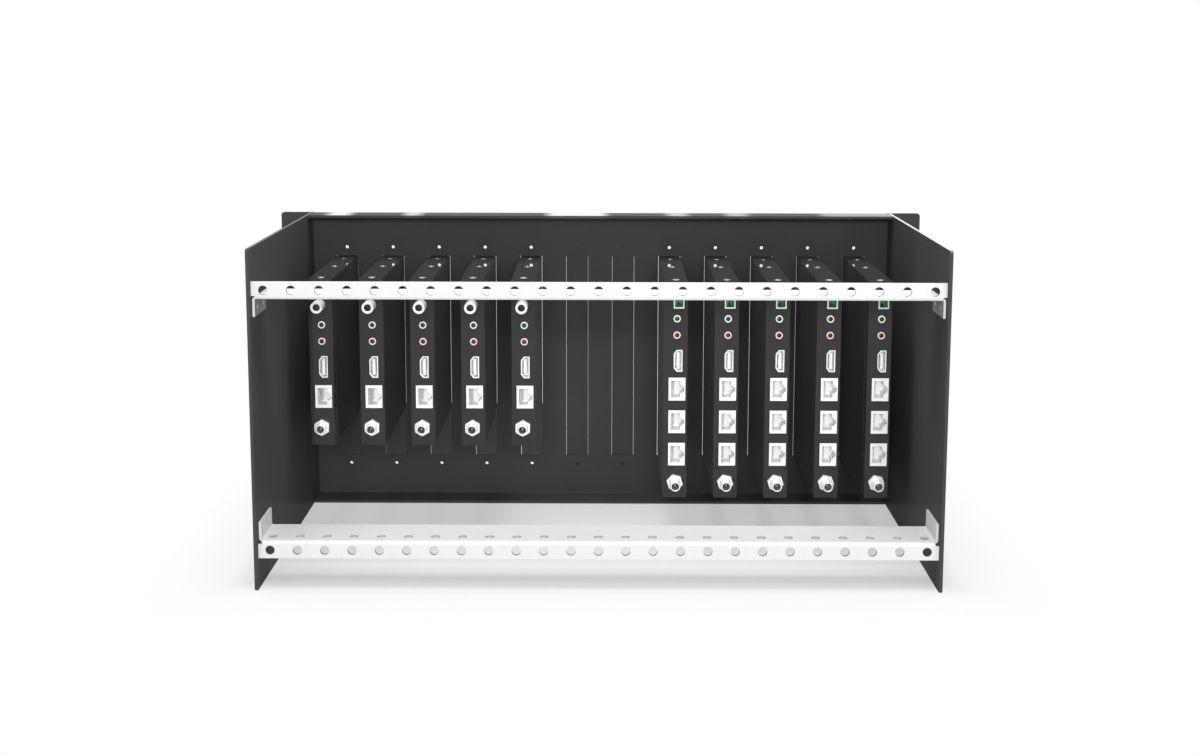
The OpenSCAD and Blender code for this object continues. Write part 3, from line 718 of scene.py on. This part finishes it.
def dress_frame():
    """Gives every solid its finish, and puts on the new pieces."""
    black_paint = powder_coat(
        "black_paint", level=0.06, roughness=0.6, grain=0.25, gloss=0.02, coat=frame_gloss
    )
    black_case = powder_coat("black_case", level=0.032, roughness=0.03, grain=0.005, gloss=0.2)
    zinc = zinc_plate()
    nickel = nickel_plate()
    dull_steel = steel("dull_steel", level=0.42, metallic=0.8)
    bright_steel = steel("bright_steel", level=0.9, metallic=0.3)
    black_oxide = steel("black_oxide", level=0.035, metallic=1.0)
    black_plastic = moulded("black_plastic", (0.018, 0.018, 0.018), (0.028, 0.028, 0.029), 0.45)
    grey_plastic = moulded("grey_plastic", (0.22, 0.22, 0.22), (0.3, 0.3, 0.3), 0.5)
    pale_grey = moulded("pale_grey_plastic", (0.36, 0.36, 0.36), (0.46, 0.46, 0.46), 0.5)
    white_plastic = moulded("white_plastic", (0.88, 0.88, 0.87), (0.95, 0.95, 0.94), 0.4)
    # The darker green and red are painted shade in the audio bores; the pale copies are painted
    # highlights on their rims
    green = moulded("green_plastic", (0.05, 0.22, 0.08), (0.08, 0.27, 0.11), 0.35)
    red = moulded("red_plastic", (0.4, 0.07, 0.08), (0.47, 0.1, 0.11), 0.35)
    lit_green = moulded("pale_green_plastic", (0.75, 0.88, 0.79), (0.81, 0.92, 0.85), 0.35)
    lit_red = moulded("pale_red_plastic", (0.84, 0.65, 0.65), (0.88, 0.7, 0.7), 0.35)
    bright_rim = ((0.93, 0.93, 0.92), (0.98, 0.98, 0.97))
    grey_lining = ((0.9, 0.9, 0.89), (0.96, 0.96, 0.95))
    white_lining = ((0.93, 0.93, 0.92), (0.98, 0.98, 0.97))
    # A paler rim and a darker cavity on the terminal blocks' one green plastic: painted highlight and
    # painted shade
    lit_green_rim = ((0.7, 0.88, 0.74), (0.78, 0.93, 0.82))
    shaded_green_lining = ((0.16, 0.46, 0.22), (0.22, 0.54, 0.28))
    network_shield = lined_socket("network_shield", NETWORK_OUT, bright_rim, 0.4, grey_lining, 0.2)
    video_shell = lined_socket("video_shell", VIDEO_OUT, bright_rim, 0.4, white_lining, 0.8)
    terminal_green = lined_socket("terminal_green", TERMINAL_OUT, lit_green_rim, 0.0, shaded_green_lining, 0.0)

    paint(black_paint, "front_panel", "left_side_panel", "right_side_panel")
    paint(zinc, "upper_cable_bar", "lower_cable_bar")
    paint(black_paint, *[f"blanking_strip_{slot}" for slot in BLANK_SLOTS])
    paint(black_oxide, "blanking_strip_screws")
    for slot in MODULE_SLOTS:
        paint(black_case, f"module_{slot}_case", f"module_{slot}_rear_plate")
        paint(black_plastic, f"module_{slot}_bezel")
    paint(nickel, "power_socket_nuts")
    paint(black_plastic, "terminal_pins")
    paint(video_shell, "video_socket_shells")
    paint(network_shield, "network_sockets")
    paint(white_plastic, "video_socket_inserts")
    paint(terminal_green, "terminal_blocks")

    make_cover_screws(dull_steel)
    make_bar_screws(bright_steel)
    make_coax_sockets(nickel, grey_plastic)
    make_audio_sockets("green", "pale_green_plastic", lit_green, green)
    make_audio_sockets("red", "pale_red_plastic", lit_red, red)
    make_power_sockets(nickel, pale_grey, grey_plastic)
    make_network_contacts(bright_steel)
    make_video_contacts(nickel)
    make_gap_shade_strips(black_plastic)


# Stage


def seen_rays(f):
    """1 for rays of the camera and of reflections, 0 for rays that carry light."""
    kinds = ("Is Camera Ray", "Is Glossy Ray", "Is Transmission Ray")
    camera, glossy, clear = (f.node("ShaderNodeLightPath", out=kind) for kind in kinds)
    return camera.max(glossy).max(clear)


def make_floor():
    """A pale floor that keeps the soft shadow near the frame and is plain white further out."""
    start()
    bpy.ops.mesh.primitive_plane_add(size=FLOOR_SIZE, location=(0, 0, FLOOR_Z))
    floor = bpy.context.object
    floor.name = "floor"
    f = new_finish("pale_floor")
    half_w, half_d = cad_box[1].x / MM, cad_box[1].y / MM
    outside = (abs(f.along("X")) - half_w).max(abs(f.along("Y")) - half_d)
    lift = f.ramp(outside, FLOOR_LIFT)
    plain = f.node("ShaderNodeBsdfDiffuse", sockets={"Color": grey(0.66)})
    white = f.node("ShaderNodeEmission", sockets={"Color": grey(1.0), "Strength": 1.0})
    mixed = f.node("ShaderNodeMixShader", sockets={0: lift * seen_rays(f), 1: plain, 2: white})
    f.node("ShaderNodeOutputMaterial", sockets={"Surface": mixed})
    floor.data.materials.append(f.owner)


def make_world():
    """White for the camera and in reflections, softer as a light."""
    world = bpy.data.worlds.new("studio")
    bpy.context.scene.world = world
    f = Finish(world)
    soft = f.node("ShaderNodeBackground", sockets={"Color": grey(1.0), "Strength": 0.16})
    white = f.node("ShaderNodeBackground", sockets={"Color": grey(1.0), "Strength": 1.0})
    mixed = f.node("ShaderNodeMixShader", sockets={0: seen_rays(f), 1: soft, 2: white})
    f.node("ShaderNodeOutputWorld", sockets={"Surface": mixed})


def add_lamp(name, place, aim, size, power):
    data = bpy.data.lights.new(name, "AREA")
    data.shape = "RECTANGLE"
    data.size = size[0]
    data.size_y = size[1]
    data.energy = power
    lamp = bpy.data.objects.new(name, data)
    lamp.location = place
    lamp.rotation_euler = (Vector(aim) - Vector(place)).to_track_quat("-Z", "Y").to_euler()
    bpy.context.collection.objects.link(lamp)


def make_camera():
    """Camera of the photograph's view: its image is 1200 by 755 pixels."""
    image_w, image_h = 1200.0, 755.0
    focal_px, axis_row = 1444.4, 230.0
    place = Vector((4.9, -986.9, 346.5)) * MM
    yaw, pitch, roll = (math.radians(angle) for angle in (0.270, -7.310, -0.105))
    data = bpy.data.cameras.new("camera")
    data.sensor_width = 36.0
    data.lens = focal_px * data.sensor_width / image_w
    data.shift_y = (axis_row - image_h / 2) / image_w
    data.clip_end = 100.0
    camera = bpy.data.objects.new("camera", data)
    turn = Matrix.Rotation(yaw, 4, "Z") @ Matrix.Rotation(pitch, 4, "X") @ Matrix.Rotation(roll, 4, "Y")
    camera.matrix_world = Matrix.Translation(place) @ turn @ Matrix.Rotation(math.pi / 2, 4, "X")
    bpy.context.collection.objects.link(camera)
    bpy.context.scene.camera = camera


make_camera()
make_world()
make_floor()
add_lamp("overhead", (0.0, -0.1, 2.6), (0, 0, 0.1), (2.6, 1.6), 90.0)
add_lamp("behind_camera", (0.8, -1.6, 0.6), (0, 0, 0.12), (1.4, 0.7), 5.0)
add_lamp("front_fill", (0.0, 1.9, 0.8), (0, 0, 0.1), (1.6, 0.8), 4.5)
add_lamp("near_lens", (0.0, -1.75, 0.62), (0, 0, 0.12), (0.6, 0.3), 16.0)
dress_frame()
bpy.context.scene.view_settings.view_transform = "Standard"
